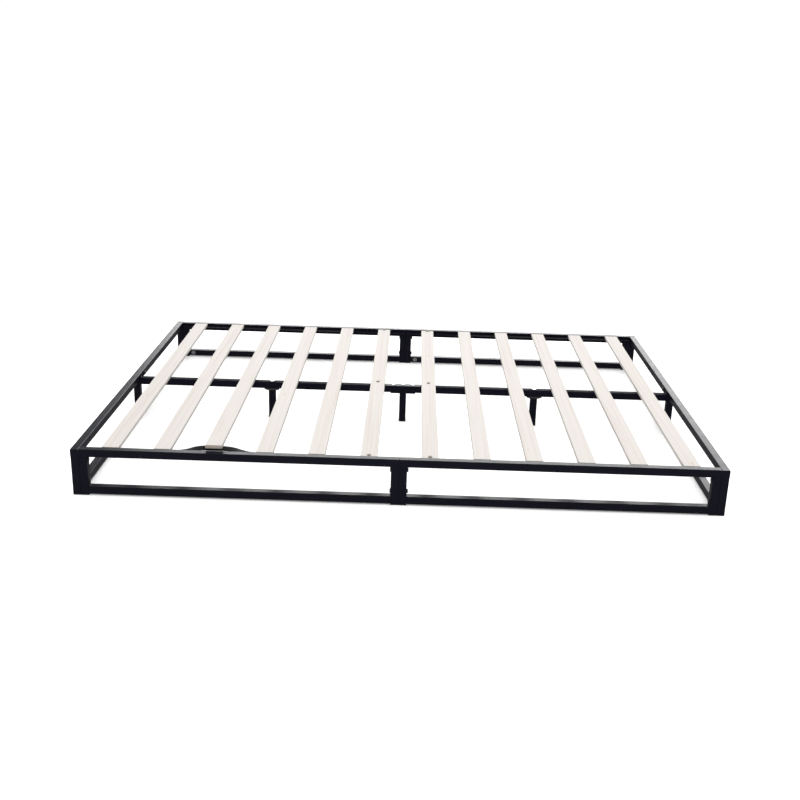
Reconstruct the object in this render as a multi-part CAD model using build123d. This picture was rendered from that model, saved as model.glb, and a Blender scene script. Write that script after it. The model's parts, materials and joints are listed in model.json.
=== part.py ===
from build123d import *
import math
import os

# Low platform bed frame, queen size: two welded end frames, four welded side half-frames, a centre
# rail on three legs, and twelve pine slats. The middle two slats are screwed down; the five on each
# side of them hang together on two ribbons and lie loose on the ledges.
#
# Millimetres. X runs along the bed, Y from the front side to the back side, Z up.
# The origin is on the floor, in the middle of the footprint.

# ---- overall size ----
LENGTH = 2019.0
WIDTH = 1511.0
HEIGHT = 152.4

# ---- square steel tube ----
TUBE = 25.0
TUBE_WALL = 1.2
TUBE_CORNER = 2.0
END_CAP = 1.5              # steel plate welded over the ends of the two end rails
GROUND_EDGE = 1.0          # taken off the outer edges of each side top rail's ends
BOTTOM_RAIL_LIFT = 4.5     # underside of the bottom rails above the floor

# ---- feet ----
FOOT_PAD = 3.0             # plastic under each post
FOOT_PAD_EDGE = 1.0
FOOT_STUB = 12.0           # how far the cap reaches up into its tube
STUB_GAP = 0.1

# ---- slat ledges: steel angle welded inside each side rail, its upright leg a little below it ----
LEDGE_WIDTH = 20.0
LEDGE_THICK = 2.0
LEDGE_DEEP = 16.5          # height of the angle's upright leg
LEDGE_END_GAP = 5.0

# ---- centre rail ----
CENTRE_LEG_X = 490.0       # the outer two legs, either side of the middle one
BRACKET_THICK = 3.0
BRACKET_MARGIN = 4.0       # how far the bracket stands out past the rail's sides
BRACKET_EAR_END = 63.0
BRACKET_EAR_LOW = 133.4
BRACKET_TOP = 149.4
BRACKET_BOLT_Y = 50.0
BRACKET_BOLT_Z = 141.4
JOINER_LENGTH = 92.0
JOINER_THICK = 2.5
JOINER_SIDE = 20.0         # height of the channel's two sides
JOINER_BOLT_X = 36.0
STRAP_LENGTH = 132.0       # flat strap on top of the middle joint
STRAP_WIDTH = 21.0
STRAP_THICK = 1.5
SADDLE_LENGTH = 56.0
SADDLE_DROP = 7.0
SADDLE_EDGE = 2.5          # thickness at the saddle's two tips
LEG_NUT_THICK = 5.0

# ---- bolts, nuts and screws ----
BOLT = 8.0
BOLT_HOLE = 8.6
NUT_BORE = 8.2
BOLT_TIP = 0.5             # how far a bolt comes out of its nut
BOLT_HEAD = 15.0
BOLT_HEAD_HIGH = 3.0
BOLT_CROWN = 0.45          # rounding of a head's edge, as a share of the head's height
BOLT_SOCKET = 5.0          # across the flats of the key socket
BOLT_SOCKET_DEEP = 1.8
HEX_NUT = 13.0             # across the flats
HEX_NUT_HIGH = 4.0
WELD_NUT = 14.0
WELD_NUT_HIGH = 7.0
POST_BOLT_Z = (44.0, 115.0)
LEG_BOLT_HEAD = 18.0
LEG_BOLT_HEAD_HIGH = 4.0
MIDDLE_BOLT_HEAD = 13.0
JOINER_BOLT_HEAD = 11.0
JOINER_BOLT_HEAD_HIGH = 2.6
RAIL_SCREW = 6.0
RAIL_SCREW_LONG = 14.0
RAIL_SCREW_HEAD = 12.0
RAIL_SCREW_HEAD_HIGH = 4.0
RAIL_SCREW_FLANGE = 18.0
RAIL_SCREW_FLANGE_THICK = 1.5
RAIL_SCREW_INSET = 19.0    # from the post to the screw in the bottom rail
SLAT_SCREW = 4.0
SLAT_SCREW_LONG = 18.0
SLAT_SCREW_HEAD = 13.0
SLAT_SCREW_HEAD_HIGH = 2.5
CROSS_LONG = 4.6           # cross recess in a slat screw's head
CROSS_WIDE = 1.0
CROSS_DEEP = 1.3
PAST = 1.0                 # how far a drill starts outside the face it cuts
SCREW_ROOM = 0.4           # added to a screw's diameter for the hole it passes through

# ---- slats ----
SLAT_WIDTH = 52.0
SLAT_THICK = 11.0
SLAT_LENGTH = 1457.0
SLAT_EDGE = 1.0
FIRST_SLAT_X = 94.5        # middle slats, either side of the bed's middle
SLAT_PITCH = 161.0
SLATS_PER_SIDE = 6
SLAT_SCREW_INSET = 7.0     # from the slat's end to its end screws
PROPPED_SLAT = 3           # counted from the left end
PROPPED_RAISE = 17.5       # how high the ribbon holds this slat's front end
PROPPED_ASIDE = 4.8        # how far that end has slid towards the middle of the bed
DRAWN_ASIDE = 6.4          # how far the ribbon has drawn the front ends of the slats left of it

# ---- ribbons and staples ----
RIBBON_WIDTH = 25.0
RIBBON_THICK = 1.5
RIBBON_LAG = 10.0          # stays flat for this long past the slat left of the propped one
STAPLE_WIDE = 10.0
STAPLE_WIRE = 0.8
STAPLE_IN_WOOD = 6.0
STAPLE_INSET = 2.5         # from the ribbon's inner edge
STAPLE_GAP = 0.2

# ---- worked out from the above ----
HALF_LENGTH = LENGTH / 2
HALF_WIDTH = WIDTH / 2
INNER_X = HALF_LENGTH - TUBE            # inner faces of the end frames
INNER_Y = HALF_WIDTH - TUBE             # inner faces of the side frames
TOP_RAIL_Z = HEIGHT - TUBE / 2
TOP_RAIL_UNDER = HEIGHT - TUBE
BOTTOM_RAIL_Z = BOTTOM_RAIL_LIFT + TUBE / 2
BORE = TUBE - 2 * TUBE_WALL
BORE_CORNER = TUBE_CORNER - TUBE_WALL
LEDGE_TOP = HEIGHT - SLAT_THICK - RIBBON_THICK
CENTRE_RAIL_Z = LEDGE_TOP - TUBE / 2
CENTRE_RAIL_UNDER = LEDGE_TOP - TUBE
SLAT_END_Y = SLAT_LENGTH / 2
LOOSE_SLAT_UNDER = LEDGE_TOP + RIBBON_THICK
FIXED_SLAT_TOP = LEDGE_TOP + SLAT_THICK
PROPPED_TILT = math.degrees(math.asin(PROPPED_RAISE / SLAT_LENGTH))
RIBBON_INNER_Y = SLAT_END_Y - RIBBON_WIDTH


# ---- small shapes that everything is made of ----
def box_between(low, high):
    """Solid box from its lowest corner to its highest."""
    size = [b - a for a, b in zip(low, high)]
    middle = [(a + b) / 2 for a, b in zip(low, high)]
    return Pos(*middle) * Box(*size)


def plane_along(start, end):
    """Plane at start that looks towards end, with its X axis along the bed or upright."""
    direction = Vector(*end) - Vector(*start)
    sideways = (0, 0, 1) if abs(direction.Z) < 0.5 * direction.length else (1, 0, 0)
    return Plane(origin=start, x_dir=sideways, z_dir=direction)


def rod(start, end, diameter):
    """Round bar between two points. It also serves as a drill."""
    length = (Vector(*end) - Vector(*start)).length
    return extrude(plane_along(start, end) * Circle(diameter / 2), length)


def square_tube(start, end):
    """Hollow square tube between two points on its centre line."""
    length = (Vector(*end) - Vector(*start)).length
    section = RectangleRounded(TUBE, TUBE, TUBE_CORNER) - RectangleRounded(BORE, BORE, BORE_CORNER)
    return extrude(plane_along(start, end) * section, length)


def ground_at_ends(tube):
    """The tube along X with the outer edges of both its ends ground off."""
    for end in (0, -1):
        end_face = tube.faces().sort_by(Axis.X)[end]
        tube = chamfer(end_face.outer_wire().edges(), GROUND_EDGE)
    return tube


def drilled(solid, holes):
    """The solid with round holes, each given as its start, its end and its diameter."""
    for start, end, diameter in holes:
        solid = solid - rod(start, end, diameter)
    return solid


def point_from(start, direction, distance):
    """The point at a distance from start along a unit direction."""
    return tuple(s + d * distance for s, d in zip(start, direction))


def socket_bolt(seat, direction, length, diameter=BOLT, head=BOLT_HEAD, head_high=BOLT_HEAD_HIGH):
    """Round-headed bolt with a key socket. Its head sits at seat and its shank runs along direction."""
    crown = point_from(seat, direction, -head_high)
    bolt = rod(crown, seat, head)
    crown_face = bolt.faces().filter_by(GeomType.PLANE).sort_by_distance(crown)[0]
    bolt = fillet(crown_face.edges(), head_high * BOLT_CROWN)
    bolt = bolt + rod(seat, point_from(seat, direction, length), diameter)
    socket = plane_along(crown, seat) * RegularPolygon(BOLT_SOCKET / 2, 6, major_radius=False)
    return bolt - extrude(socket, BOLT_SOCKET_DEEP)


def hex_nut(seat, direction):
    """Hexagon nut with one face on seat, standing up along direction."""
    profile = RegularPolygon(HEX_NUT / 2, 6, major_radius=False) - Circle(NUT_BORE / 2)
    return extrude(plane_along(seat, point_from(seat, direction, HEX_NUT_HIGH)) * profile, HEX_NUT_HIGH)


def weld_nut(seat, direction):
    """Round threaded nut welded inside a tube, with one face on the tube's wall at seat."""
    profile = Circle(WELD_NUT / 2) - Circle(NUT_BORE / 2)
    return extrude(plane_along(seat, point_from(seat, direction, WELD_NUT_HIGH)) * profile, WELD_NUT_HIGH)


def mirrored_in_x(solid):
    return mirror(solid, Plane.YZ)


def turned_round(solid):
    """The same part, turned half a turn about the bed's upright axis."""
    return Rot(0, 0, 180) * solid


# ---- welded frames ----
def end_frame():
    """Left end frame: full-width top rail, three posts and two lengths of bottom rail."""
    x = -HALF_LENGTH + TUBE / 2
    rail_end = HALF_WIDTH - END_CAP
    top_rail = square_tube((x, -rail_end, TOP_RAIL_Z), (x, rail_end, TOP_RAIL_Z))
    wall_hole = ((x, BRACKET_BOLT_Y, BRACKET_BOLT_Z), (-INNER_X, BRACKET_BOLT_Y, BRACKET_BOLT_Z), BOLT_HOLE)
    pieces = [drilled(top_rail, [wall_hole])]
    for side in (-1, 1):
        cap_start = min(side * rail_end, side * HALF_WIDTH)
        cap = Pos(x, cap_start, TOP_RAIL_Z) * Rot(90, 0, 0) * RectangleRounded(TUBE, TUBE, TUBE_CORNER)
        pieces.append(extrude(cap, END_CAP, dir=(0, 1, 0)))
    for side in (-1, 1):
        y = side * (HALF_WIDTH - TUBE / 2)
        post = square_tube((x, y, FOOT_PAD), (x, y, TOP_RAIL_UNDER))
        holes = [((x, y, z), (-INNER_X, y, z), BOLT_HOLE) for z in POST_BOLT_Z]
        pieces.append(drilled(post, holes))
        inner, outer = side * TUBE / 2, side * INNER_Y
        pieces.append(square_tube((x, inner, BOTTOM_RAIL_Z), (x, outer, BOTTOM_RAIL_Z)))
    pieces.append(square_tube((x, 0, FOOT_PAD), (x, 0, TOP_RAIL_UNDER)))
    return pieces


def side_frame():
    """Back left half-frame: top rail, bottom rail and a post at each end."""
    y = HALF_WIDTH - TUBE / 2
    outer_post_x = -INNER_X + TUBE / 2
    inner_post_x = -TUBE / 2
    screw_x = -INNER_X + TUBE + RAIL_SCREW_INSET
    pieces = [ground_at_ends(square_tube((-INNER_X, y, TOP_RAIL_Z), (0, y, TOP_RAIL_Z)))]
    bottom_rail = square_tube((-INNER_X + TUBE, y, BOTTOM_RAIL_Z), (-TUBE, y, BOTTOM_RAIL_Z))
    screw_hole = ((screw_x, INNER_Y, BOTTOM_RAIL_Z), (screw_x, y, BOTTOM_RAIL_Z), RAIL_SCREW + SCREW_ROOM)
    pieces.append(drilled(bottom_rail, [screw_hole]))
    for x in (outer_post_x, inner_post_x):
        post = square_tube((x, y, FOOT_PAD), (x, y, TOP_RAIL_UNDER))
        holes = [((x - TUBE, y, z), (x + TUBE, y, z), BOLT_HOLE) for z in POST_BOLT_Z]
        pieces.append(drilled(post, holes))
    return pieces


def slat_ledge():
    """Back left ledge: a steel angle on the side rail's inner face, drilled for the middle slat's screw."""
    left, right = -INNER_X + LEDGE_END_GAP, -LEDGE_END_GAP
    shelf_y = INNER_Y - LEDGE_WIDTH
    shelf = box_between((left, shelf_y, LEDGE_TOP - LEDGE_THICK), (right, INNER_Y, LEDGE_TOP))
    web = box_between((left, INNER_Y - LEDGE_THICK, LEDGE_TOP - LEDGE_DEEP), (right, INNER_Y, LEDGE_TOP))
    screw_y = SLAT_END_Y - SLAT_SCREW_INSET
    holes = [
        ((x, screw_y, LEDGE_TOP - TUBE), (x, screw_y, LEDGE_TOP), SLAT_SCREW + SCREW_ROOM)
        for x in (-FIRST_SLAT_X, -INNER_X + FIRST_SLAT_X)
    ]
    return [drilled(shelf + web, holes)]


# ---- centre rail and its legs ----
def centre_rail():
    """Left half of the centre rail, from the end bracket to the middle of the bed."""
    start_x = -INNER_X + BRACKET_THICK
    rail = square_tube((start_x, 0, CENTRE_RAIL_Z), (0, 0, CENTRE_RAIL_Z))
    through = [-CENTRE_LEG_X, -JOINER_BOLT_X, 0]
    holes = [((x, 0, CENTRE_RAIL_UNDER - PAST), (x, 0, LEDGE_TOP + PAST), BOLT_HOLE) for x in through]
    screw_hole = SLAT_SCREW + SCREW_ROOM
    holes.append(((-FIRST_SLAT_X, 0, CENTRE_RAIL_Z), (-FIRST_SLAT_X, 0, LEDGE_TOP + PAST), screw_hole))
    return [drilled(rail, holes)]


def centre_rail_bracket():
    """Plate welded on the left rail's end, with an ear that is bolted to the end frame's top rail."""
    left, right = -INNER_X, -INNER_X + BRACKET_THICK
    edge = TUBE / 2 + BRACKET_MARGIN
    plate = box_between((left, -edge, CENTRE_RAIL_UNDER), (right, edge, BRACKET_TOP))
    ear = box_between((left, edge, BRACKET_EAR_LOW), (right, BRACKET_EAR_END, BRACKET_TOP))
    bolt_hole = ((left, BRACKET_BOLT_Y, BRACKET_BOLT_Z), (right, BRACKET_BOLT_Y, BRACKET_BOLT_Z), BOLT_HOLE)
    return [drilled(plate + ear, [bolt_hole])]


def centre_rail_joiner():
    """Channel under the middle joint of the centre rail, with a threaded hole for each of its bolts."""
    end = JOINER_LENGTH / 2
    inner, outer = TUBE / 2, TUBE / 2 + JOINER_THICK
    low = CENTRE_RAIL_UNDER - JOINER_THICK
    channel = box_between((-end, -outer, low), (end, outer, CENTRE_RAIL_UNDER))
    for side in (-1, 1):
        near, far = sorted((side * inner, side * outer))
        channel = channel + box_between((-end, near, low), (end, far, low + JOINER_SIDE))
    bores = {-JOINER_BOLT_X: NUT_BORE, 0: BOLT_HOLE, JOINER_BOLT_X: NUT_BORE}
    holes = [((x, 0, low), (x, 0, CENTRE_RAIL_UNDER), bore) for x, bore in bores.items()]
    return [drilled(channel, holes)]


def centre_rail_strap():
    """Flat strap on top of the middle joint of the centre rail, under its three bolts' heads."""
    end = STRAP_LENGTH / 2
    strap = box_between((-end, -STRAP_WIDTH / 2, LEDGE_TOP), (end, STRAP_WIDTH / 2, LEDGE_TOP + STRAP_THICK))
    places = (-JOINER_BOLT_X, 0, JOINER_BOLT_X)
    return [drilled(strap, [((x, 0, LEDGE_TOP), (x, 0, LEDGE_TOP + STRAP_THICK), BOLT_HOLE) for x in places])]


def leg_top(x):
    """Height of a leg's top end: under the joiner in the middle, under a saddle elsewhere."""
    return CENTRE_RAIL_UNDER - (JOINER_THICK if x == 0 else SADDLE_DROP)


def centre_leg(x):
    return [square_tube((x, 0, FOOT_PAD), (x, 0, leg_top(x)))]


def leg_saddle(x):
    """Moulded saddle between the centre rail and a leg, flaring out along the rail."""
    tip, neck = SADDLE_LENGTH / 2, TUBE / 2
    low, high = -SADDLE_DROP, -SADDLE_EDGE
    bend = ((tip - neck) ** 2 + (high - low) ** 2) / (2 * (high - low))
    outline = [
        Line((neck, low), (-neck, low)),
        RadiusArc((-neck, low), (-tip, high), bend),
        Line((-tip, high), (-tip, 0)),
        Line((-tip, 0), (tip, 0)),
        Line((tip, 0), (tip, high)),
        RadiusArc((tip, high), (neck, low), bend),
    ]
    face = Plane.XZ * make_face(Curve() + outline)
    saddle = Pos(x, 0, CENTRE_RAIL_UNDER) * extrude(face, TUBE / 2, both=True)
    return [drilled(saddle, [((x, 0, leg_top(x) - PAST), (x, 0, CENTRE_RAIL_UNDER + PAST), BOLT_HOLE)])]


def leg_nut(x):
    """Square threaded plate welded inside the top of a leg."""
    wide = BORE - 2 * STUB_GAP
    profile = RectangleRounded(wide, wide, BORE_CORNER + STUB_GAP) - Circle(NUT_BORE / 2)
    return Pos(x, 0, leg_top(x) - LEG_NUT_THICK) * extrude(profile, LEG_NUT_THICK)


def foot_cap(x, y):
    """Plastic cap: a pad under the tube and a stub inside it."""
    pad = extrude(RectangleRounded(TUBE, TUBE, TUBE_CORNER), FOOT_PAD)
    pad = chamfer(pad.faces().sort_by(Axis.Z)[0].edges(), FOOT_PAD_EDGE)
    wide = BORE - 2 * STUB_GAP
    stub = Pos(0, 0, FOOT_PAD) * extrude(RectangleRounded(wide, wide, BORE_CORNER + STUB_GAP), FOOT_STUB)
    return Pos(x, y, 0) * (pad + stub)


def post_foot_caps():
    """One cap under each post of the end frames and the side frames."""
    frame_post_x = HALF_LENGTH - TUBE / 2
    frame_post_y = HALF_WIDTH - TUBE / 2
    places = [(sx * frame_post_x, y) for sx in (-1, 1) for y in (-frame_post_y, 0, frame_post_y)]
    side_post_x = (INNER_X - TUBE / 2, TUBE / 2)
    places += [(sx * x, sy * frame_post_y) for sx in (-1, 1) for x in side_post_x for sy in (-1, 1)]
    return [foot_cap(x, y) for x, y in places]


# ---- bolts, nuts and screws ----
def corner_bolts():
    """Bolts from inside each side frame's outer post into the end frame's post."""
    y = HALF_WIDTH - TUBE / 2
    seat_x = INNER_X - TUBE
    length = TUBE + TUBE_WALL + WELD_NUT_HIGH
    return [
        socket_bolt((side * seat_x, row * y, z), (side, 0, 0), length)
        for side in (-1, 1) for row in (-1, 1) for z in POST_BOLT_Z
    ]


def weld_nuts():
    """Threaded nuts inside the end frames: four for each end's corner bolts, one for its bracket bolt."""
    y = HALF_WIDTH - TUBE / 2
    wall_x = INNER_X + TUBE_WALL
    places = [(row * y, z) for row in (-1, 1) for z in POST_BOLT_Z]
    places.append((BRACKET_BOLT_Y, BRACKET_BOLT_Z))
    nuts = []
    for side in (-1, 1):
        nuts += [weld_nut((side * wall_x, nut_y, z), (side, 0, 0)) for nut_y, z in places]
    return nuts


def bracket_bolts():
    seat_x = INNER_X - BRACKET_THICK
    length = BRACKET_THICK + TUBE_WALL + WELD_NUT_HIGH
    return [
        socket_bolt((side * seat_x, BRACKET_BOLT_Y, BRACKET_BOLT_Z), (side, 0, 0), length)
        for side in (-1, 1)
    ]


def mid_bolts():
    """Bolts along the bed through the two inner posts, front and back."""
    y = HALF_WIDTH - TUBE / 2
    length = 2 * TUBE + HEX_NUT_HIGH + BOLT_TIP
    return [socket_bolt((-TUBE, row * y, z), (1, 0, 0), length) for row in (-1, 1) for z in POST_BOLT_Z]


def mid_nuts():
    y = HALF_WIDTH - TUBE / 2
    return [hex_nut((TUBE, row * y, z), (1, 0, 0)) for row in (-1, 1) for z in POST_BOLT_Z]


def leg_bolts():
    """Bolts down through the centre rail into the top of each leg, the middle one with a smaller head."""
    bolts = []
    for x in (-CENTRE_LEG_X, 0, CENTRE_LEG_X):
        seat_z = LEDGE_TOP + (STRAP_THICK if x == 0 else 0)
        head = MIDDLE_BOLT_HEAD if x == 0 else LEG_BOLT_HEAD
        length = seat_z - leg_top(x) + LEG_NUT_THICK + BOLT_TIP
        bolts.append(socket_bolt((x, 0, seat_z), (0, 0, -1), length, BOLT, head, LEG_BOLT_HEAD_HIGH))
    return bolts


def joiner_bolts():
    """Low-headed bolts through the strap and the centre rail into the channel's threaded holes."""
    seat_z = LEDGE_TOP + STRAP_THICK
    length = STRAP_THICK + TUBE + JOINER_THICK + BOLT_TIP
    return [
        socket_bolt(
            (side * JOINER_BOLT_X, 0, seat_z), (0, 0, -1), length,
            BOLT, JOINER_BOLT_HEAD, JOINER_BOLT_HEAD_HIGH)
        for side in (-1, 1)
    ]


def rail_screw():
    """Flanged screw in the inner face of the back left bottom rail."""
    seat = (-INNER_X + TUBE + RAIL_SCREW_INSET, INNER_Y, BOTTOM_RAIL_Z)
    screw = socket_bolt(seat, (0, 1, 0), RAIL_SCREW_LONG, RAIL_SCREW, RAIL_SCREW_HEAD, RAIL_SCREW_HEAD_HIGH)
    return screw + rod(point_from(seat, (0, -1, 0), RAIL_SCREW_FLANGE_THICK), seat, RAIL_SCREW_FLANGE)


def rail_screws():
    """The same screw in each of the four half-frames."""
    back_left = rail_screw()
    back_right = Pos(INNER_X, 0, 0) * rail_screw()
    return [back_left, back_right, turned_round(back_left), turned_round(back_right)]


def slat_screw(x, y):
    """Round-headed screw with a cross recess, its head standing on a middle slat."""
    seat, crown = (x, y, FIXED_SLAT_TOP), (x, y, FIXED_SLAT_TOP + SLAT_SCREW_HEAD_HIGH)
    head = rod(seat, crown, SLAT_SCREW_HEAD)
    head = fillet(head.faces().sort_by(Axis.Z)[-1].edges(), SLAT_SCREW_HEAD_HIGH * BOLT_CROWN)
    shank = rod((x, y, FIXED_SLAT_TOP - SLAT_SCREW_LONG), seat, SLAT_SCREW)
    one_arm = Pos(*crown) * Box(CROSS_LONG, CROSS_WIDE, 2 * CROSS_DEEP)
    other_arm = Pos(*crown) * Box(CROSS_WIDE, CROSS_LONG, 2 * CROSS_DEEP)
    return head + shank - one_arm - other_arm


def slat_screws():
    """Three screws in each of the two middle slats: into both ledges and the centre rail."""
    end_y = SLAT_END_Y - SLAT_SCREW_INSET
    return [slat_screw(x, y) for x in (-FIRST_SLAT_X, FIRST_SLAT_X) for y in (-end_y, 0, end_y)]


# ---- slats ----
def slat_x(number):
    """Middle of a slat along the bed. Slats are counted from 1 at the left end."""
    side = -1 if number <= SLATS_PER_SIDE else 1
    steps = SLATS_PER_SIDE - number if side < 0 else number - SLATS_PER_SIDE - 1
    return side * (FIRST_SLAT_X + steps * SLAT_PITCH)


def slid_aside(number, side):
    """How far along the bed a slat's front (-1) or back (1) end has slid from its place."""
    if side > 0 or number > PROPPED_SLAT:
        return 0.0
    return PROPPED_ASIDE if number == PROPPED_SLAT else DRAWN_ASIDE


def slat_end_x(number, side):
    """Middle of a slat's front (-1) or back (1) end along the bed."""
    return slat_x(number) + slid_aside(number, side)


def plain_slat():
    """A slat with its middle underside at the origin and its long edges eased."""
    slat = Pos(0, 0, SLAT_THICK / 2) * Box(SLAT_WIDTH, SLAT_LENGTH, SLAT_THICK)
    return fillet(slat.edges().filter_by(Axis.Y), SLAT_EDGE)


def fixed_slat(number):
    """One of the middle two slats, which lies on the ledges and the centre rail and is screwed to them."""
    x = slat_x(number)
    slat = Pos(x, 0, LEDGE_TOP) * plain_slat()
    end_y = SLAT_END_Y - SLAT_SCREW_INSET
    holes = [
        ((x, y, LEDGE_TOP - PAST), (x, y, FIXED_SLAT_TOP + PAST), SLAT_SCREW + SCREW_ROOM)
        for y in (-end_y, 0, end_y)
    ]
    return [drilled(slat, holes)]


def loose_slat(number):
    """A slat on the ribbons, with slots for its staples. The propped one leans up on its ribbon.

    A slat whose front end has slid aside is turned about its back end.
    """
    tilt = PROPPED_TILT if number == PROPPED_SLAT else 0.0
    skew = math.degrees(math.asin(slid_aside(number, -1) / SLAT_LENGTH))
    turn = Pos(0, SLAT_END_Y, 0) * Rot(-tilt, 0, skew) * Pos(0, -SLAT_END_Y, 0)
    slat = Pos(slat_x(number), 0, LOOSE_SLAT_UNDER) * turn * plain_slat()
    for side in (-1, 1):
        slat = slat - staple_slots(number, side)
    return [slat]


# ---- ribbons and staples ----
def ribbon_top(number, side):
    """Height of the ribbon's upper face under a slat, at the front (-1) or back (1) of the bed."""
    if number == PROPPED_SLAT and side < 0:
        lean = RIBBON_WIDTH * math.tan(math.radians(PROPPED_TILT))
        return LOOSE_SLAT_UNDER + PROPPED_RAISE - lean
    return LOOSE_SLAT_UNDER


def staple_y(side):
    return side * (RIBBON_INNER_Y + STAPLE_INSET)


def staple(number, side):
    """Wire staple up through the ribbon into a slat."""
    x, y = slat_end_x(number, side), staple_y(side)
    front, back = y - STAPLE_WIRE / 2, y + STAPLE_WIRE / 2
    half_wide = STAPLE_WIDE / 2
    under = ribbon_top(number, side) - RIBBON_THICK
    low, high = under - STAPLE_WIRE, under + RIBBON_THICK + STAPLE_IN_WOOD
    wire = box_between((x - half_wide, front, low), (x + half_wide, back, under))
    for end in (-1, 1):
        left, right = sorted((x + end * half_wide, x + end * (half_wide - STAPLE_WIRE)))
        wire = wire + box_between((left, front, low), (right, back, high))
    return wire


def staple_slots(number, side):
    """The two slots that a staple's legs fill, with a little room round them."""
    x, y = slat_end_x(number, side), staple_y(side)
    room = STAPLE_WIRE / 2 + STAPLE_GAP
    low = ribbon_top(number, side) - RIBBON_THICK - PAST
    high = ribbon_top(number, side) + STAPLE_IN_WOOD + STAPLE_GAP
    leg_x = STAPLE_WIDE / 2 - STAPLE_WIRE / 2
    left_slot = box_between((x - leg_x - room, y - room, low), (x - leg_x + room, y + room, high))
    right_slot = box_between((x + leg_x - room, y - room, low), (x + leg_x + room, y + room, high))
    return left_slot + right_slot


def ribbon(numbers, side):
    """Flat ribbon under a run of slats. Where a slat is propped, it rises to it in two S-bends."""
    left = slat_end_x(numbers[0], side) - SLAT_WIDTH / 2
    right = slat_end_x(numbers[-1], side) + SLAT_WIDTH / 2
    low_z = LOOSE_SLAT_UNDER - RIBBON_THICK
    if PROPPED_SLAT in numbers and side < 0:
        line = propped_ribbon_line(left, right, low_z, ribbon_top(PROPPED_SLAT, side) - RIBBON_THICK)
    else:
        line = [((left, low_z), (right, low_z), 0)]
    edges = []
    for lift in (0, RIBBON_THICK):
        for start, end, bend in line:
            a, b = (start[0], start[1] + lift), (end[0], end[1] + lift)
            edges.append(Line(a, b) if bend == 0 else RadiusArc(a, b, bend))
    edges.append(Line((left, low_z), (left, low_z + RIBBON_THICK)))
    edges.append(Line((right, low_z), (right, low_z + RIBBON_THICK)))
    face = Plane.XZ * make_face(Curve() + edges)
    strip = extrude(face, RIBBON_WIDTH / 2, both=True)
    strip = Pos(0, side * (RIBBON_INNER_Y + RIBBON_WIDTH / 2), 0) * strip
    for number in numbers:
        strip = strip - staple_slots(number, side)
    return [strip]


def s_bend(start, end):
    """Two equal arcs that meet in the middle, level at start and at end."""
    run, rise = end[0] - start[0], end[1] - start[1]
    bend = (run ** 2 + rise ** 2) / (4 * rise)
    middle = (start[0] + run / 2, start[1] + rise / 2)
    return [(start, middle, -bend), (middle, end, bend)]


def propped_ribbon_line(left, right, low_z, high_z):
    """Lower edge of the propped ribbon: level, up in an S-bend, level, down in an S-bend, level.

    Each stretch is its start, its end and its bend radius, signed for RadiusArc, or 0 for a straight.
    """
    foot_left = slat_end_x(PROPPED_SLAT - 1, -1) + SLAT_WIDTH / 2 + RIBBON_LAG
    top_left = slat_end_x(PROPPED_SLAT, -1) - SLAT_WIDTH / 2
    top_right = slat_end_x(PROPPED_SLAT, -1) + SLAT_WIDTH / 2
    foot_right = slat_end_x(PROPPED_SLAT + 1, -1) - SLAT_WIDTH / 2
    return [
        ((left, low_z), (foot_left, low_z), 0),
        *s_bend((foot_left, low_z), (top_left, high_z)),
        ((top_left, high_z), (top_right, high_z), 0),
        *s_bend((top_right, high_z), (foot_right, low_z)),
        ((foot_right, low_z), (right, low_z), 0),
    ]


# ---- the whole bed ----
def four_quarters(make, name):
    """The same part at all four quarters: the back two side by side, the front two turned round."""
    back_left = make()
    back_right = [Pos(INNER_X, 0, 0) * solid for solid in back_left]
    return {
        name + "_back_left": back_left,
        name + "_back_right": back_right,
        name + "_front_right": [turned_round(solid) for solid in back_left],
        name + "_front_left": [turned_round(solid) for solid in back_right],
    }


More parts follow.
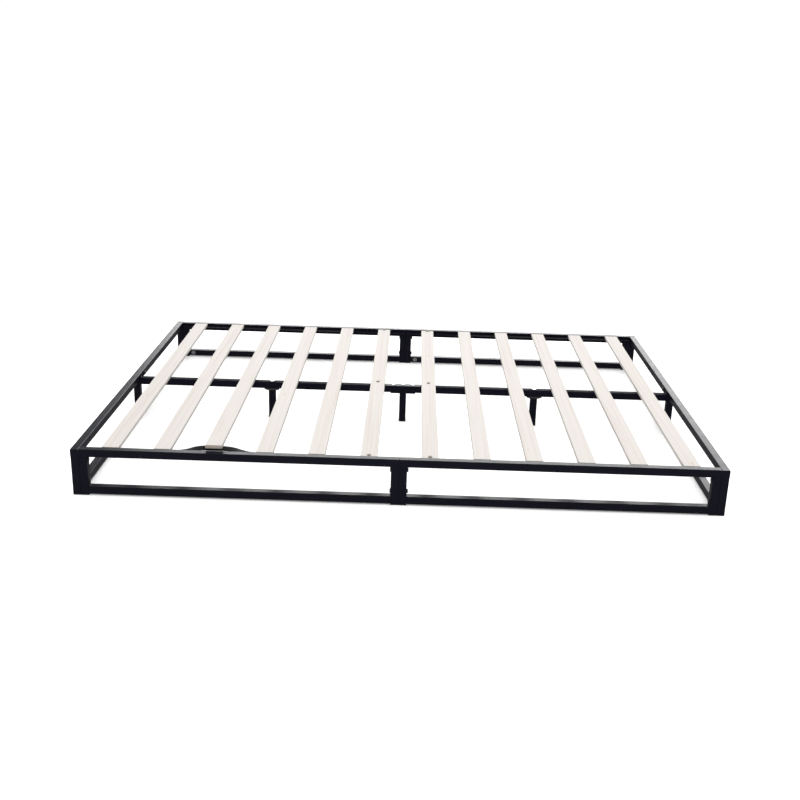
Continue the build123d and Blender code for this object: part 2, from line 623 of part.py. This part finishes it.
def all_nodes():
    nodes = {}
    nodes["end_frame_left"] = end_frame()
    nodes["end_frame_right"] = [mirrored_in_x(solid) for solid in end_frame()]
    nodes.update(four_quarters(side_frame, "side_frame"))
    nodes.update(four_quarters(slat_ledge, "slat_ledge"))

    nodes["centre_rail_left"] = centre_rail()
    nodes["centre_rail_right"] = [mirrored_in_x(solid) for solid in centre_rail()]
    nodes["centre_rail_bracket_left"] = centre_rail_bracket()
    nodes["centre_rail_bracket_right"] = [mirrored_in_x(solid) for solid in centre_rail_bracket()]
    nodes["centre_rail_joiner"] = centre_rail_joiner()
    nodes["centre_rail_strap"] = centre_rail_strap()
    legs = {"left": -CENTRE_LEG_X, "middle": 0, "right": CENTRE_LEG_X}
    for place, x in legs.items():
        nodes["centre_leg_" + place] = centre_leg(x)
    nodes["leg_saddle_left"] = leg_saddle(-CENTRE_LEG_X)
    nodes["leg_saddle_right"] = leg_saddle(CENTRE_LEG_X)
    nodes["leg_weld_nuts"] = [leg_nut(x) for x in legs.values()]
    nodes["leg_foot_caps"] = [foot_cap(x, 0) for x in legs.values()]
    nodes["post_foot_caps"] = post_foot_caps()

    nodes["corner_bolts"] = corner_bolts()
    nodes["corner_weld_nuts"] = weld_nuts()
    nodes["bracket_bolts"] = bracket_bolts()
    nodes["mid_bolts"] = mid_bolts()
    nodes["mid_nuts"] = mid_nuts()
    nodes["leg_bolts"] = leg_bolts()
    nodes["joiner_bolts"] = joiner_bolts()
    nodes["rail_screws"] = rail_screws()
    nodes["slat_screws"] = slat_screws()

    left_roll = range(1, SLATS_PER_SIDE)
    right_roll = range(SLATS_PER_SIDE + 2, 2 * SLATS_PER_SIDE + 1)
    for number in (SLATS_PER_SIDE, SLATS_PER_SIDE + 1):
        nodes[f"slat_{number:02d}"] = fixed_slat(number)
    for place, numbers in (("left", left_roll), ("right", right_roll)):
        for number in numbers:
            nodes[f"slat_{number:02d}"] = loose_slat(number)
        nodes[f"ribbon_front_{place}"] = ribbon(numbers, -1)
        nodes[f"ribbon_back_{place}"] = ribbon(numbers, 1)
        nodes[f"staples_{place}"] = [staple(number, side) for number in numbers for side in (-1, 1)]
    return nodes


os.makedirs("parts", exist_ok=True)
for node_name, solids in all_nodes().items():
    shape = solids[0] if len(solids) == 1 else Compound(solids)
    export_step(shape, os.path.join("parts", node_name + ".step"))
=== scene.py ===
import json
import math

import bmesh
import bpy
from mathutils import Matrix, Vector


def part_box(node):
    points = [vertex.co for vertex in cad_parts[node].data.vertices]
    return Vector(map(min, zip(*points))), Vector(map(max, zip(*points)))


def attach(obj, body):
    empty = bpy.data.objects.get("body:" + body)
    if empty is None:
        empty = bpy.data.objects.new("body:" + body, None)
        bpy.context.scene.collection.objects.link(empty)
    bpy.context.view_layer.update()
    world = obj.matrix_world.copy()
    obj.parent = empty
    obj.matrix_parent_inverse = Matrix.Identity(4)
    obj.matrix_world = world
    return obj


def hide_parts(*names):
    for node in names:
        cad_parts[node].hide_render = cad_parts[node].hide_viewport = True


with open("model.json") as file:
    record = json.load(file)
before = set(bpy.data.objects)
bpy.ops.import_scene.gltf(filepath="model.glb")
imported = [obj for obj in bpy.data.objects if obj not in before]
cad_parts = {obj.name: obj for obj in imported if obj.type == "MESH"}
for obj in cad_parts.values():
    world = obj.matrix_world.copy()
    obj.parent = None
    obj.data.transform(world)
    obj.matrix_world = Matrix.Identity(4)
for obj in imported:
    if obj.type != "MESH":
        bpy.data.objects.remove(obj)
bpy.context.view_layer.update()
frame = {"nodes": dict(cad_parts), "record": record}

# Metres throughout. X runs along the bed, Y from the front side to the back side, Z up.

# ---- camera ----
CAMERA_PLACE = (0.0227, -3.6922, 1.3765)
CAMERA_YAW = math.radians(-0.508)
CAMERA_PITCH = math.radians(19.332)      # below the horizon
CAMERA_ROLL = math.radians(1.68)
CAMERA_LENS = 46.85
CAMERA_SENSOR = 36.0

# ---- places read from the frame ----
END_FRAMES = ("end_frame_left", "end_frame_right")
SIDE_FRAMES = tuple(f"side_frame_{row}_{end}" for row in ("front", "back") for end in ("left", "right"))
RIBBONS = tuple(f"ribbon_{row}_{end}" for row in ("front", "back") for end in ("left", "right"))
SLATS = tuple(f"slat_{number:02d}" for number in range(1, 13))
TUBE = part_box("centre_leg_middle")[1].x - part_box("centre_leg_middle")[0].x
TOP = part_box("end_frame_left")[1].z
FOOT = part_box("end_frame_left")[0].z
WIDTH_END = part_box("end_frame_right")[1].y

# ---- weld beads ----
BEAD = 0.0024              # leg of the bead's triangle
BEAD_PITCH = 0.0021        # from one ripple to the next
BEAD_RINGS = 5             # rings that shape each ripple
BEAD_ARC_STEPS = 6         # steps round the bead's bulging face
BEAD_INSET = 0.0022        # kept clear of the tube's rounded corners
BEAD_RIPPLE = 0.14         # how much a ripple swells the bead, as a share of its size
BEAD_FACE = 0.80           # reach of the bulging face between its two toes, as a share
BEAD_BULGE = 0.06          # added to that in the middle of the face
BEAD_START = 0.35          # size at the bead's two ends, as a share
BEAD_GROWTH = 6.0          # how fast it comes to its full size

# ---- ribbons ----
RIBBON_RIB = 0.0016        # from one cross rib to the next
RIBBON_RIB_DEPTH = 0.00012
RIBBON_EDGE = 0.0012       # woven edge, thinner than the middle
RIBBON_CLEARANCE = 0.00012
RIBBON_SHORT_OF = 0.0006   # how far the cut ends stay inside the stapled length
RIBBON_FLAT = 0.0045       # width along its inner edge that the staples hold flat
RIBBON_DROOP = 0.0085      # how far its loose edge hangs down under the propped slat
RIBBON_LAG = 0.010         # stays flat for this long past the slat left of the propped one
RINGS_PER_RIB = 4
SLOPE_STEP = 1e-4          # either way, to read the ribbon's slope
LENGTH_STEP = 1e-3         # to add up the ribbon's length

# ---- pine ----
PINE_BANDS = ((0.30, (0.500, 0.472, 0.452)), (0.50, (0.485, 0.453, 0.430)), (0.72, (0.447, 0.403, 0.367)))
PINE_FIBRE = (0.402, 0.370, 0.340)
PINE_PALE = (0.492, 0.474, 0.460)
PINE_KNOT = (0.43, 0.29, 0.18)
PINE_SIDE = (0.33, 0.325, 0.30)
PINE_END_DARK = (0.25, 0.215, 0.19)
PINE_END_LIGHT = (0.42, 0.37, 0.33)

# ---- studio ----
BACKDROP_STRENGTH = 1.03
BACKDROP_REFLECTED = 0.38  # strength where the backdrop is seen in a reflection
BED_MIDDLE = Vector((0.0, 0.0, 0.0))
FLOOR_SIZE = 60.0
FLOOR_SQUARES = 24
FLOOR_GLOW = 0.16          # keeps the shadows faint
OVERHEAD_PLACE = (0.0, 0.0, 5.0)
OVERHEAD_SIZE = (6.0, 6.0)
OVERHEAD_POWER = 250.0
BACK_PLACE = (1.85, 9.0, 3.6)
BACK_SIZE = (11.0, 4.0)
BACK_POWER = 1350.0


# ---- shader building blocks ----
class Nodes:
    """A material's node tree, with short calls to add and join nodes."""

    def __init__(self, name):
        self.material = bpy.data.materials.new(name)
        self.material.use_nodes = True
        self.tree = self.material.node_tree
        self.surface = self.tree.nodes["Principled BSDF"]
        self.place = self.add("ShaderNodeTexCoord").outputs["Object"]

    def add(self, kind, **settings):
        node = self.tree.nodes.new(kind)
        for key, value in settings.items():
            setattr(node, key, value)
        return node

    def join(self, output, socket):
        self.tree.links.new(output, socket)

    def stretched(self, scale, vector=None):
        """Object coordinates, stretched by a scale along each axis."""
        node = self.add("ShaderNodeMapping")
        node.inputs["Scale"].default_value = scale
        self.join(vector or self.place, node.inputs["Vector"])
        return node.outputs["Vector"]

    def noise(self, vector, scale=1.0, detail=3.0, roughness=0.5, distortion=0.0):
        node = self.add("ShaderNodeTexNoise")
        node.inputs["Scale"].default_value = scale
        node.inputs["Detail"].default_value = detail
        node.inputs["Roughness"].default_value = roughness
        node.inputs["Distortion"].default_value = distortion
        self.join(vector, node.inputs["Vector"])
        return node.outputs["Fac"]

    def waves(self, vector, scale, direction, distortion=0.0, detail_scale=1.0):
        node = self.add("ShaderNodeTexWave", wave_type="BANDS", bands_direction=direction)
        node.inputs["Scale"].default_value = scale
        node.inputs["Distortion"].default_value = distortion
        node.inputs["Detail"].default_value = 2.0
        node.inputs["Detail Scale"].default_value = detail_scale
        self.join(vector, node.inputs["Vector"])
        return node.outputs["Fac"]

    def ramp(self, value, *stops):
        """Colour ramp: each stop is a place from 0 to 1 and a grey level or a colour."""
        node = self.add("ShaderNodeValToRGB")
        elements = node.color_ramp.elements
        while len(elements) < len(stops):
            elements.new(0.5)
        for element, (place, colour) in zip(elements, stops):
            element.position = place
            element.color = (*colour, 1.0) if hasattr(colour, "__len__") else (colour, colour, colour, 1.0)
        self.join(value, node.inputs["Fac"])
        return node.outputs["Color"]

    def between(self, value, low, high):
        """Maps 0..1 to low..high."""
        node = self.add("ShaderNodeMapRange")
        node.inputs["To Min"].default_value = low
        node.inputs["To Max"].default_value = high
        self.join(value, node.inputs["Value"])
        return node.outputs["Result"]

    def maths(self, operation, a, b=None):
        node = self.add("ShaderNodeMath", operation=operation)
        for socket, value in zip(node.inputs, (a, b)):
            if value is None:
                continue
            if isinstance(value, (int, float)):
                socket.default_value = value
            else:
                self.join(value, socket)
        return node.outputs["Value"]

    def mixed(self, amount, first, second, blend="MIX"):
        """Colour mix. first and second are colours or outputs."""
        node = self.add("ShaderNodeMix", data_type="RGBA", blend_type=blend)
        colour_inputs = [s for s in node.inputs if s.type == "RGBA"]
        for socket, value in zip([node.inputs["Factor"]] + colour_inputs, (amount, first, second)):
            if isinstance(value, (int, float)):
                socket.default_value = value
            elif isinstance(value, tuple):
                socket.default_value = (*value, 1.0)
            else:
                self.join(value, socket)
        return next(s for s in node.outputs if s.type == "RGBA")

    def facing(self, axis):
        """How squarely the surface faces along an axis, either way, from 0 to 1."""
        split = self.add("ShaderNodeSeparateXYZ")
        self.join(self.add("ShaderNodeNewGeometry").outputs["Normal"], split.inputs["Vector"])
        return self.maths("ABSOLUTE", split.outputs[axis])

    def edges(self, radius):
        """1 on a sharp or rounded edge within the radius, 0 on flat faces."""
        bevel = self.add("ShaderNodeBevel", samples=4)
        bevel.inputs["Radius"].default_value = radius
        dot = self.add("ShaderNodeVectorMath", operation="DOT_PRODUCT")
        self.join(bevel.outputs["Normal"], dot.inputs[0])
        self.join(self.add("ShaderNodeNewGeometry").outputs["True Normal"], dot.inputs[1])
        return self.ramp(dot.outputs["Value"], (0.80, 1.0), (0.985, 0.0))

    def bump(self, height, strength, distance, normal=None):
        node = self.add("ShaderNodeBump")
        node.inputs["Strength"].default_value = strength
        node.inputs["Distance"].default_value = distance
        self.join(height, node.inputs["Height"])
        if normal is not None:
            self.join(normal, node.inputs["Normal"])
        return node.outputs["Normal"]

    def finish(self, colour, roughness, normal, **fixed):
        """Joins the three varying inputs and sets the rest directly on the shader."""
        self.join(colour, self.surface.inputs["Base Color"])
        self.join(roughness, self.surface.inputs["Roughness"])
        self.join(normal, self.surface.inputs["Normal"])
        for key, value in fixed.items():
            self.surface.inputs[key.replace("_", " ")].default_value = value
        return self.material


# ---- materials ----
def powder_coat(name, roughness_range, specular):
    """Black powder coat: fine orange peel, faint dust and a painted highlight along its edges."""
    n = Nodes(name)
    mottled = n.noise(n.place, scale=9.0, detail=5.0)
    dust = n.ramp(n.noise(n.place, scale=420.0, detail=2.0), (0.66, 0.0), (0.74, 1.0))
    colour = n.mixed(mottled, (0.0046, 0.0045, 0.0082), (0.0064, 0.0062, 0.0114))
    colour = n.mixed(n.maths("MULTIPLY", dust, 0.02), colour, (0.20, 0.20, 0.20))
    # painted highlight: the edges are lightened as if they catch the light
    colour = n.mixed(n.maths("MULTIPLY", n.edges(0.0012), 0.20), colour, (0.022, 0.022, 0.026))
    roughness = n.between(n.noise(n.place, scale=26.0, detail=4.0), *roughness_range)
    peel = n.noise(n.place, scale=760.0, detail=1.0)
    normal = n.bump(n.noise(n.place, scale=90.0, detail=1.0), 0.10, 0.0006, n.bump(peel, 0.16, 0.00025))
    return n.finish(colour, roughness, normal, Specular_IOR_Level=specular)


def black_oxide():
    """Blackened bolts and nuts, with a painted highlight on their edges."""
    n = Nodes("black_fastener_look")
    mottled = n.noise(n.place, scale=300.0, detail=4.0)
    colour = n.mixed(mottled, (0.018, 0.018, 0.020), (0.045, 0.044, 0.046))
    # painted highlight: lighter colour along the edges
    colour = n.mixed(n.maths("MULTIPLY", n.edges(0.0006), 0.5), colour, (0.22, 0.22, 0.22))
    roughness = n.between(mottled, 0.28, 0.45)
    normal = n.bump(n.noise(n.place, scale=1500.0, detail=2.0), 0.2, 0.0001)
    return n.finish(colour, roughness, normal, Metallic=0.6)


def zinc(name, dark, light):
    """Plated steel, bright zinc or yellow zinc, with a cloudy passivated film."""
    n = Nodes(name)
    cloudy = n.noise(n.place, scale=240.0, detail=5.0, distortion=0.6)
    colour = n.mixed(cloudy, dark, light)
    # painted highlight: the edges are lightened towards the bright colour
    colour = n.mixed(n.maths("MULTIPLY", n.edges(0.0005), 0.5), colour, light)
    roughness = n.between(cloudy, 0.22, 0.40)
    normal = n.bump(n.noise(n.place, scale=2200.0, detail=2.0), 0.15, 0.00008)
    return n.finish(colour, roughness, normal, Metallic=1.0)


def dulled(name, dark, light):
    """Zinc plating gone dull, with cloudy patches."""
    n = Nodes(name)
    cloudy = n.noise(n.place, scale=240.0, detail=5.0, distortion=0.6)
    colour = n.mixed(cloudy, dark, light)
    # painted highlight: the edges are lightened past the light colour
    colour = n.mixed(n.maths("MULTIPLY", n.edges(0.0005), 0.35), colour, tuple(1.5 * part for part in light))
    roughness = n.between(cloudy, 0.50, 0.65)
    normal = n.bump(n.noise(n.place, scale=2200.0, detail=2.0), 0.15, 0.00008)
    return n.finish(colour, roughness, normal, Specular_IOR_Level=0.03)


def moulded_plastic():
    """Matte black polypropylene with a fine spark-eroded grain."""
    n = Nodes("black_plastic_look")
    mottled = n.noise(n.place, scale=60.0, detail=4.0)
    colour = n.mixed(mottled, (0.012, 0.012, 0.013), (0.022, 0.022, 0.023))
    # painted highlight: lighter grey along the edges
    colour = n.mixed(n.maths("MULTIPLY", n.edges(0.0008), 0.4), colour, (0.06, 0.06, 0.06))
    grain = n.noise(n.place, scale=1900.0, detail=2.0)
    roughness = n.between(grain, 0.50, 0.68)
    return n.finish(colour, roughness, n.bump(grain, 0.35, 0.0002), Specular_IOR_Level=0.4)


def pine():
    """Pale planed pine: long growth bands, fine fibres, a tone per slat and darker sawn ends."""
    n = Nodes("pine_slat_look")
    warp = n.noise(n.stretched((5.0, 0.9, 5.0)), detail=2.0)
    sway = n.add("ShaderNodeVectorMath", operation="MULTIPLY_ADD")
    sway.inputs[1].default_value = (0.02, 0.0, 0.02)
    n.join(warp, sway.inputs[0])
    n.join(n.place, sway.inputs[2])
    bands = n.noise(n.stretched((150.0, 1.4, 150.0), sway.outputs["Vector"]), detail=3.0, roughness=0.55)
    fibres = n.noise(n.stretched((900.0, 11.0, 900.0)), detail=3.0, roughness=0.6)
    tone = n.noise(n.stretched((6.25, 0.15, 0.0)), detail=0.0)

    colour = n.ramp(bands, *PINE_BANDS)
    colour = n.mixed(n.maths("MULTIPLY", fibres, 0.22), colour, PINE_FIBRE)
    colour = n.mixed(n.maths("MULTIPLY", tone, 0.20), colour, PINE_PALE)
    knots = n.add("ShaderNodeTexVoronoi", feature="F1")
    knots.inputs["Scale"].default_value = 1.0
    n.join(n.stretched((20.0, 3.2, 0.0)), knots.inputs["Vector"])
    knot = n.ramp(knots.outputs["Distance"], (0.030, 1.0), (0.075, 0.0))
    colour = n.mixed(n.maths("MULTIPLY", knot, 0.55), colour, PINE_KNOT)

    # darker, greyer colour on the slat faces that face along X
    x_faces_darker = n.maths("MULTIPLY", n.facing("X"), 0.55)
    colour = n.mixed(x_faces_darker, colour, PINE_SIDE)
    rings = n.waves(n.place, 120.0, "Z", distortion=3.0, detail_scale=30.0)
    end_grain = n.mixed(rings, PINE_END_DARK, PINE_END_LIGHT)
    colour = n.mixed(n.ramp(n.facing("Y"), (0.45, 0.0), (0.55, 1.0)), colour, end_grain)

    roughness = n.between(bands, 0.52, 0.70)
    normal = n.bump(bands, 0.25, 0.0004, n.bump(fibres, 0.35, 0.0002))
    return n.finish(colour, roughness, normal, Specular_IOR_Level=0.03)


def webbing():
    """Black woven ribbon: diagonal yarns over the modelled ribs, with a little lint."""
    n = Nodes("black_webbing_look")
    turned = n.add("ShaderNodeMapping")
    turned.inputs["Rotation"].default_value = (0.0, 0.0, math.radians(45.0))
    n.join(n.place, turned.inputs["Vector"])
    warp = n.waves(turned.outputs["Vector"], 160.0, "X")
    weft = n.waves(turned.outputs["Vector"], 160.0, "Y")
    weave = n.maths("MULTIPLY", warp, weft)
    lint = n.noise(n.place, scale=700.0, detail=3.0)
    colour = n.mixed(weave, (0.003, 0.003, 0.004), (0.009, 0.009, 0.010))
    colour = n.mixed(n.maths("MULTIPLY", lint, 0.06), colour, (0.05, 0.05, 0.055))
    roughness = n.between(weave, 0.86, 0.60)
    return n.finish(colour, roughness, n.bump(weave, 0.6, 0.0004), Specular_IOR_Level=0.12)


def studio_floor():
    """Plain pale floor, nearly even, with a faint glow."""
    n = Nodes("studio_floor_look")
    uneven = n.noise(n.place, scale=0.7, detail=3.0)
    colour = n.mixed(uneven, (0.935, 0.935, 0.935), (0.955, 0.955, 0.955))
    roughness = n.between(uneven, 0.85, 0.95)
    normal = n.bump(n.noise(n.place, scale=160.0), 0.05, 0.0005)
    return n.finish(
        colour, roughness, normal, Specular_IOR_Level=0.1,
        Emission_Color=(1.0, 1.0, 1.0, 1.0), Emission_Strength=FLOOR_GLOW,
    )


def make_materials():
    """One look for each material slot of the record."""
    return {
        "black_powder_coat": powder_coat("black_powder_coat_look", (0.26, 0.40), 0.045),
        "matte_black_coat": powder_coat("matte_black_coat_look", (0.50, 0.62), 0.012),
        "black_fastener": black_oxide(),
        "zinc_plate": zinc("zinc_plate_look", (0.80, 0.81, 0.82), (0.95, 0.95, 0.94)),
        "yellow_zinc": dulled("yellow_zinc_look", (0.150, 0.138, 0.100), (0.250, 0.235, 0.175)),
        "dull_zinc": dulled("dull_zinc_look", (0.125, 0.125, 0.128), (0.185, 0.185, 0.188)),
        "staple_wire": zinc("staple_wire_look", (0.45, 0.45, 0.46), (0.70, 0.70, 0.70)),
        "black_plastic": moulded_plastic(),
        "pine_slat": pine(),
        "black_webbing": webbing(),
    }


def dress_cad_nodes(materials):
    """Gives every CAD node the look of its own material slot."""
    for subpart in frame["record"]["subparts"]:
        node = frame["nodes"][subpart["node"]]
        node.data.materials.clear()
        node.data.materials.append(materials[subpart["material_slot"]])


# ---- new pieces ----
def new_piece(name, mesh_maker, material, body):
    """A smooth-shaded mesh object made by mesh_maker(bm), riding on a body."""
    bm = bmesh.new()
    mesh_maker(bm)
    bmesh.ops.recalc_face_normals(bm, faces=bm.faces)
    mesh = bpy.data.meshes.new(name)
    bm.to_mesh(mesh)
    bm.free()
    mesh.shade_smooth()
    mesh.materials.append(material)
    piece = bpy.data.objects.new(name, mesh)
    bpy.context.scene.collection.objects.link(piece)
    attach(piece, body)
    return piece


def skin_loops(bm, loops):
    """Faces between each loop of points and the next, and over the two ends."""
    for first, second in zip(loops, loops[1:]):
        count = len(first)
        for i in range(count):
            bm.faces.new((first[i], first[(i + 1) % count], second[(i + 1) % count], second[i]))
    bm.faces.new(loops[0])
    bm.faces.new(list(reversed(loops[-1])))


# ---- weld beads ----
def add_bead(bm, start, end, out_a, out_b):
    """Rippled fillet weld along the inner corner from start to end, between two faces.

    out_a and out_b point out of the corner along the two faces.
    """
    start, end, out_a, out_b = (Vector(v) for v in (start, end, out_a, out_b))
    run = end - start
    ripples = max(2, round(run.length / BEAD_PITCH))
    rings = ripples * BEAD_RINGS
    loops = []
    for ring in range(rings + 1):
        along = ring / rings
        phase = (along * ripples) % 1.0
        taper = min(1.0, BEAD_GROWTH * min(along, 1.0 - along) + BEAD_START)
        ripple = (1.0 - BEAD_RIPPLE) + BEAD_RIPPLE * math.sin(math.pi * phase) ** 0.7
        size = BEAD * taper * ripple
        middle = start + run * along
        loop = [bm.verts.new(middle)]
        for step in range(BEAD_ARC_STEPS + 1):
            angle = math.radians(90.0) * step / BEAD_ARC_STEPS
            bulge = BEAD_FACE + BEAD_BULGE * math.sin(2 * angle)
            reach = size * (bulge if 0 < step < BEAD_ARC_STEPS else 1.0)
            offset = out_a * reach * math.cos(angle) + out_b * reach * math.sin(angle)
            loop.append(bm.verts.new(middle + offset))
        loops.append(loop)
    skin_loops(bm, loops)


def corner_beads(bm, centre, across, outwards, heights):
    """Beads across a tube's width where it meets a post, at each (height, up or down) given."""
    half = (TUBE / 2 - BEAD_INSET) * Vector(across)
    for height, upward in heights:
        middle = Vector((centre[0], centre[1], height))
        add_bead(bm, middle - half, middle + half, outwards, (0, 0, upward))


def add_frame_beads(bm):
    """Beads in the corners of every welded frame's windows."""
    heights = ((TOP - TUBE, -1), (FOOT + TUBE, 1))
    for name in END_FRAMES:
        low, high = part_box(name)
        x = (low.x + high.x) / 2
        for side in (-1, 1):
            corner_beads(bm, (x, side * (WIDTH_END - TUBE)), (1, 0, 0), (0, -side, 0), heights)
            corner_beads(bm, (x, side * TUBE / 2), (1, 0, 0), (0, side, 0), heights)
    for name in SIDE_FRAMES:
        low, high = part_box(name)
        y = (low.y + high.y) / 2
        corner_beads(bm, (low.x + TUBE, y), (0, 1, 0), (1, 0, 0), heights)
        corner_beads(bm, (high.x - TUBE, y), (0, 1, 0), (-1, 0, 0), heights)


def add_bracket_beads(bm):
    """Beads round each end of the centre rail, where it meets its bracket."""
    for end in ("left", "right"):
        low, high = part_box(f"centre_rail_{end}")
        x = low.x if end == "left" else high.x
        inward = (1, 0, 0) if end == "left" else (-1, 0, 0)
        half = TUBE / 2 - BEAD_INSET
        add_bead(bm, (x, -half, high.z), (x, half, high.z), inward, (0, 0, 1))
        for y, outward in ((low.y, -1), (high.y, 1)):
            middle = (low.z + high.z) / 2
            add_bead(bm, (x, y, middle - half), (x, y, middle + half), inward, (0, outward, 0))


def make_weld_beads(materials):
    coat = materials["black_powder_coat"]
    new_piece("weld_beads_frames", add_frame_beads, coat, "frame")
    new_piece("weld_beads_centre_rail", add_bracket_beads, coat, "frame")


# ---- ribbons ----
def s_bend(x, foot_x, top_x, rise):
    """Height of an S-bend of two equal tangent arcs from foot_x, at 0, to top_x, at rise."""
    run = abs(top_x - foot_x)
    radius = (run ** 2 + rise ** 2) / (4 * rise)
    along = abs(x - foot_x)
    if along <= run / 2:
        return radius - math.sqrt(radius ** 2 - along ** 2)
    return rise - radius + math.sqrt(radius ** 2 - (run - along) ** 2)


def ribbon_height(name):
    """Function from x to the ribbon's rise above the ledge: all level, but for the propped one."""
    low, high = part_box(name)
    slats = [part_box(slat) for slat in SLATS]
    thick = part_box(name.replace("front", "back"))[1].z - low.z
    rise = high.z - low.z - thick
    if rise < thick:
        return (lambda x: 0.0), thick
    propped = max(range(len(slats)), key=lambda i: slats[i][1].z)
    foot_left = slats[propped - 1][1].x + RIBBON_LAG
    foot_right = slats[propped + 1][0].x
    top_right = slats[propped][1].x
    top_left = top_right - (slats[-1][1].x - slats[-1][0].x)

    def height(x):
        if x <= foot_left or x >= foot_right:
            return 0.0
        if top_left <= x <= top_right:
            return rise
        if x < top_left:
            return s_bend(x, foot_left, top_left, rise)
        return s_bend(x, foot_right, top_right, rise)

    return height, thick


def ribbon_section(width, thick):
    """Half section of a ribbon, from edge to edge: place across and half thickness."""
    edge = RIBBON_EDGE
    full = thick / 2 - RIBBON_CLEARANCE
    border = [(0.0, 0.30 * full), (0.3 * edge, 0.72 * full), (edge, 0.80 * full), (1.3 * edge, full)]
    middle = [(width * share, full) for share in (0.25, 0.5, 0.75)]
    other_border = [(width - across, half) for across, half in reversed(border)]
    return border + middle + [(width - RIBBON_FLAT, full)] + other_border


def make_ribbon(name, materials):
    """Woven ribbon with cross ribs, laid on the ledge under its five slats."""
    low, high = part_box(name)
    height, thick = ribbon_height(name)
    width = high.y - low.y
    most = max(high.z - low.z - thick, thick)
    section = ribbon_section(width, thick)
    left, right = low.x + RIBBON_SHORT_OF, high.x - RIBBON_SHORT_OF
    steps = RINGS_PER_RIB * round((right - left) / RIBBON_RIB)

    def fill(bm):
        loops = []
        for step in range(steps + 1):
            x = left + (right - left) * step / steps
            slope = (height(x + SLOPE_STEP) - height(x - SLOPE_STEP)) / (2 * SLOPE_STEP)
            rib = RIBBON_RIB_DEPTH * math.sin(math.pi * step / RINGS_PER_RIB) ** 2
            droop = math.asin(RIBBON_DROOP / width * (height(x) / most) ** 2)
            hinge = Vector((x, high.y - RIBBON_FLAT, low.z + thick / 2 + height(x)))
            loop = []
            for sign, points in ((1, section), (-1, section[::-1])):
                for across, half in points:
                    out = width - RIBBON_FLAT - across
                    lean = droop if out > 0 else 0.0
                    up = Vector((-slope, -math.sin(lean), math.cos(lean))).normalized()
                    place = hinge + Vector((0, -out * math.cos(lean), -out * math.sin(lean)))
                    loop.append(bm.verts.new(place + up * sign * (half - rib)))
            loops.append(loop)
        skin_loops(bm, loops)

    body = "slat_roll_" + name.rsplit("_", 1)[1]
    piece = new_piece(name + "_woven", fill, materials["black_webbing"], body)
    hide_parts(name)
    length = 0.0
    for i in range(round((high.x - low.x) / LENGTH_STEP)):
        x = low.x + i * LENGTH_STEP
        length += math.hypot(LENGTH_STEP, height(x + LENGTH_STEP) - height(x))


# ---- studio ----
def make_floor():
    bm = bmesh.new()
    bmesh.ops.create_grid(bm, x_segments=FLOOR_SQUARES, y_segments=FLOOR_SQUARES, size=FLOOR_SIZE)
    mesh = bpy.data.meshes.new("studio_floor")
    bm.to_mesh(mesh)
    bm.free()
    mesh.materials.append(studio_floor())
    floor = bpy.data.objects.new("studio_floor", mesh)
    bpy.context.scene.collection.objects.link(floor)
    floor.visible_glossy = False


def make_softbox(name, place, size, power, only_reflected=False):
    """Rectangular light aimed at the bed's middle. It can light by its reflection alone."""
    light = bpy.data.lights.new(name, "AREA")
    light.shape = "RECTANGLE"
    light.size, light.size_y = size
    light.energy = power
    lamp = bpy.data.objects.new(name, light)
    bpy.context.scene.collection.objects.link(lamp)
    lamp.location = place
    lamp.rotation_euler = (BED_MIDDLE - lamp.location).to_track_quat("-Z", "Y").to_euler()
    lamp.visible_camera = False
    lamp.visible_diffuse = not only_reflected


def make_backdrop():
    """White all round, and dimmer where it is seen in a reflection."""
    world = bpy.data.worlds.new("studio")
    world.use_nodes = True
    tree = world.node_tree
    backdrop = tree.nodes["Background"]
    backdrop.inputs["Color"].default_value = (1.0, 1.0, 1.0, 1.0)
    strength = tree.nodes.new("ShaderNodeMapRange")
    strength.inputs["To Min"].default_value = BACKDROP_STRENGTH
    strength.inputs["To Max"].default_value = BACKDROP_REFLECTED
    path = tree.nodes.new("ShaderNodeLightPath")
    tree.links.new(path.outputs["Is Glossy Ray"], strength.inputs["Value"])
    tree.links.new(strength.outputs["Result"], backdrop.inputs["Strength"])
    bpy.context.scene.world = world


def make_studio():
    make_backdrop()
    make_softbox("back_softbox", BACK_PLACE, BACK_SIZE, BACK_POWER, only_reflected=True)
    make_softbox("overhead_softbox", OVERHEAD_PLACE, OVERHEAD_SIZE, OVERHEAD_POWER)
    bpy.context.scene.view_settings.view_transform = "Standard"


def make_camera():
    forward = Vector((
        math.sin(CAMERA_YAW) * math.cos(CAMERA_PITCH),
        math.cos(CAMERA_YAW) * math.cos(CAMERA_PITCH),
        -math.sin(CAMERA_PITCH),
    ))
    level_right = Vector((math.cos(CAMERA_YAW), -math.sin(CAMERA_YAW), 0.0))
    level_up = level_right.cross(forward)
    right = math.cos(CAMERA_ROLL) * level_right + math.sin(CAMERA_ROLL) * level_up
    up = math.cos(CAMERA_ROLL) * level_up - math.sin(CAMERA_ROLL) * level_right
    data = bpy.data.cameras.new("camera")
    data.lens = CAMERA_LENS
    data.sensor_width = CAMERA_SENSOR
    camera = bpy.data.objects.new("camera", data)
    bpy.context.scene.collection.objects.link(camera)
    turn = Matrix((right, up, -forward)).transposed().to_4x4()
    camera.matrix_world = Matrix.Translation(CAMERA_PLACE) @ turn
    bpy.context.scene.camera = camera


make_camera()
make_studio()
make_floor()
looks = make_materials()
dress_cad_nodes(looks)
for ribbon_name in RIBBONS:
    make_ribbon(ribbon_name, looks)
make_weld_beads(looks)
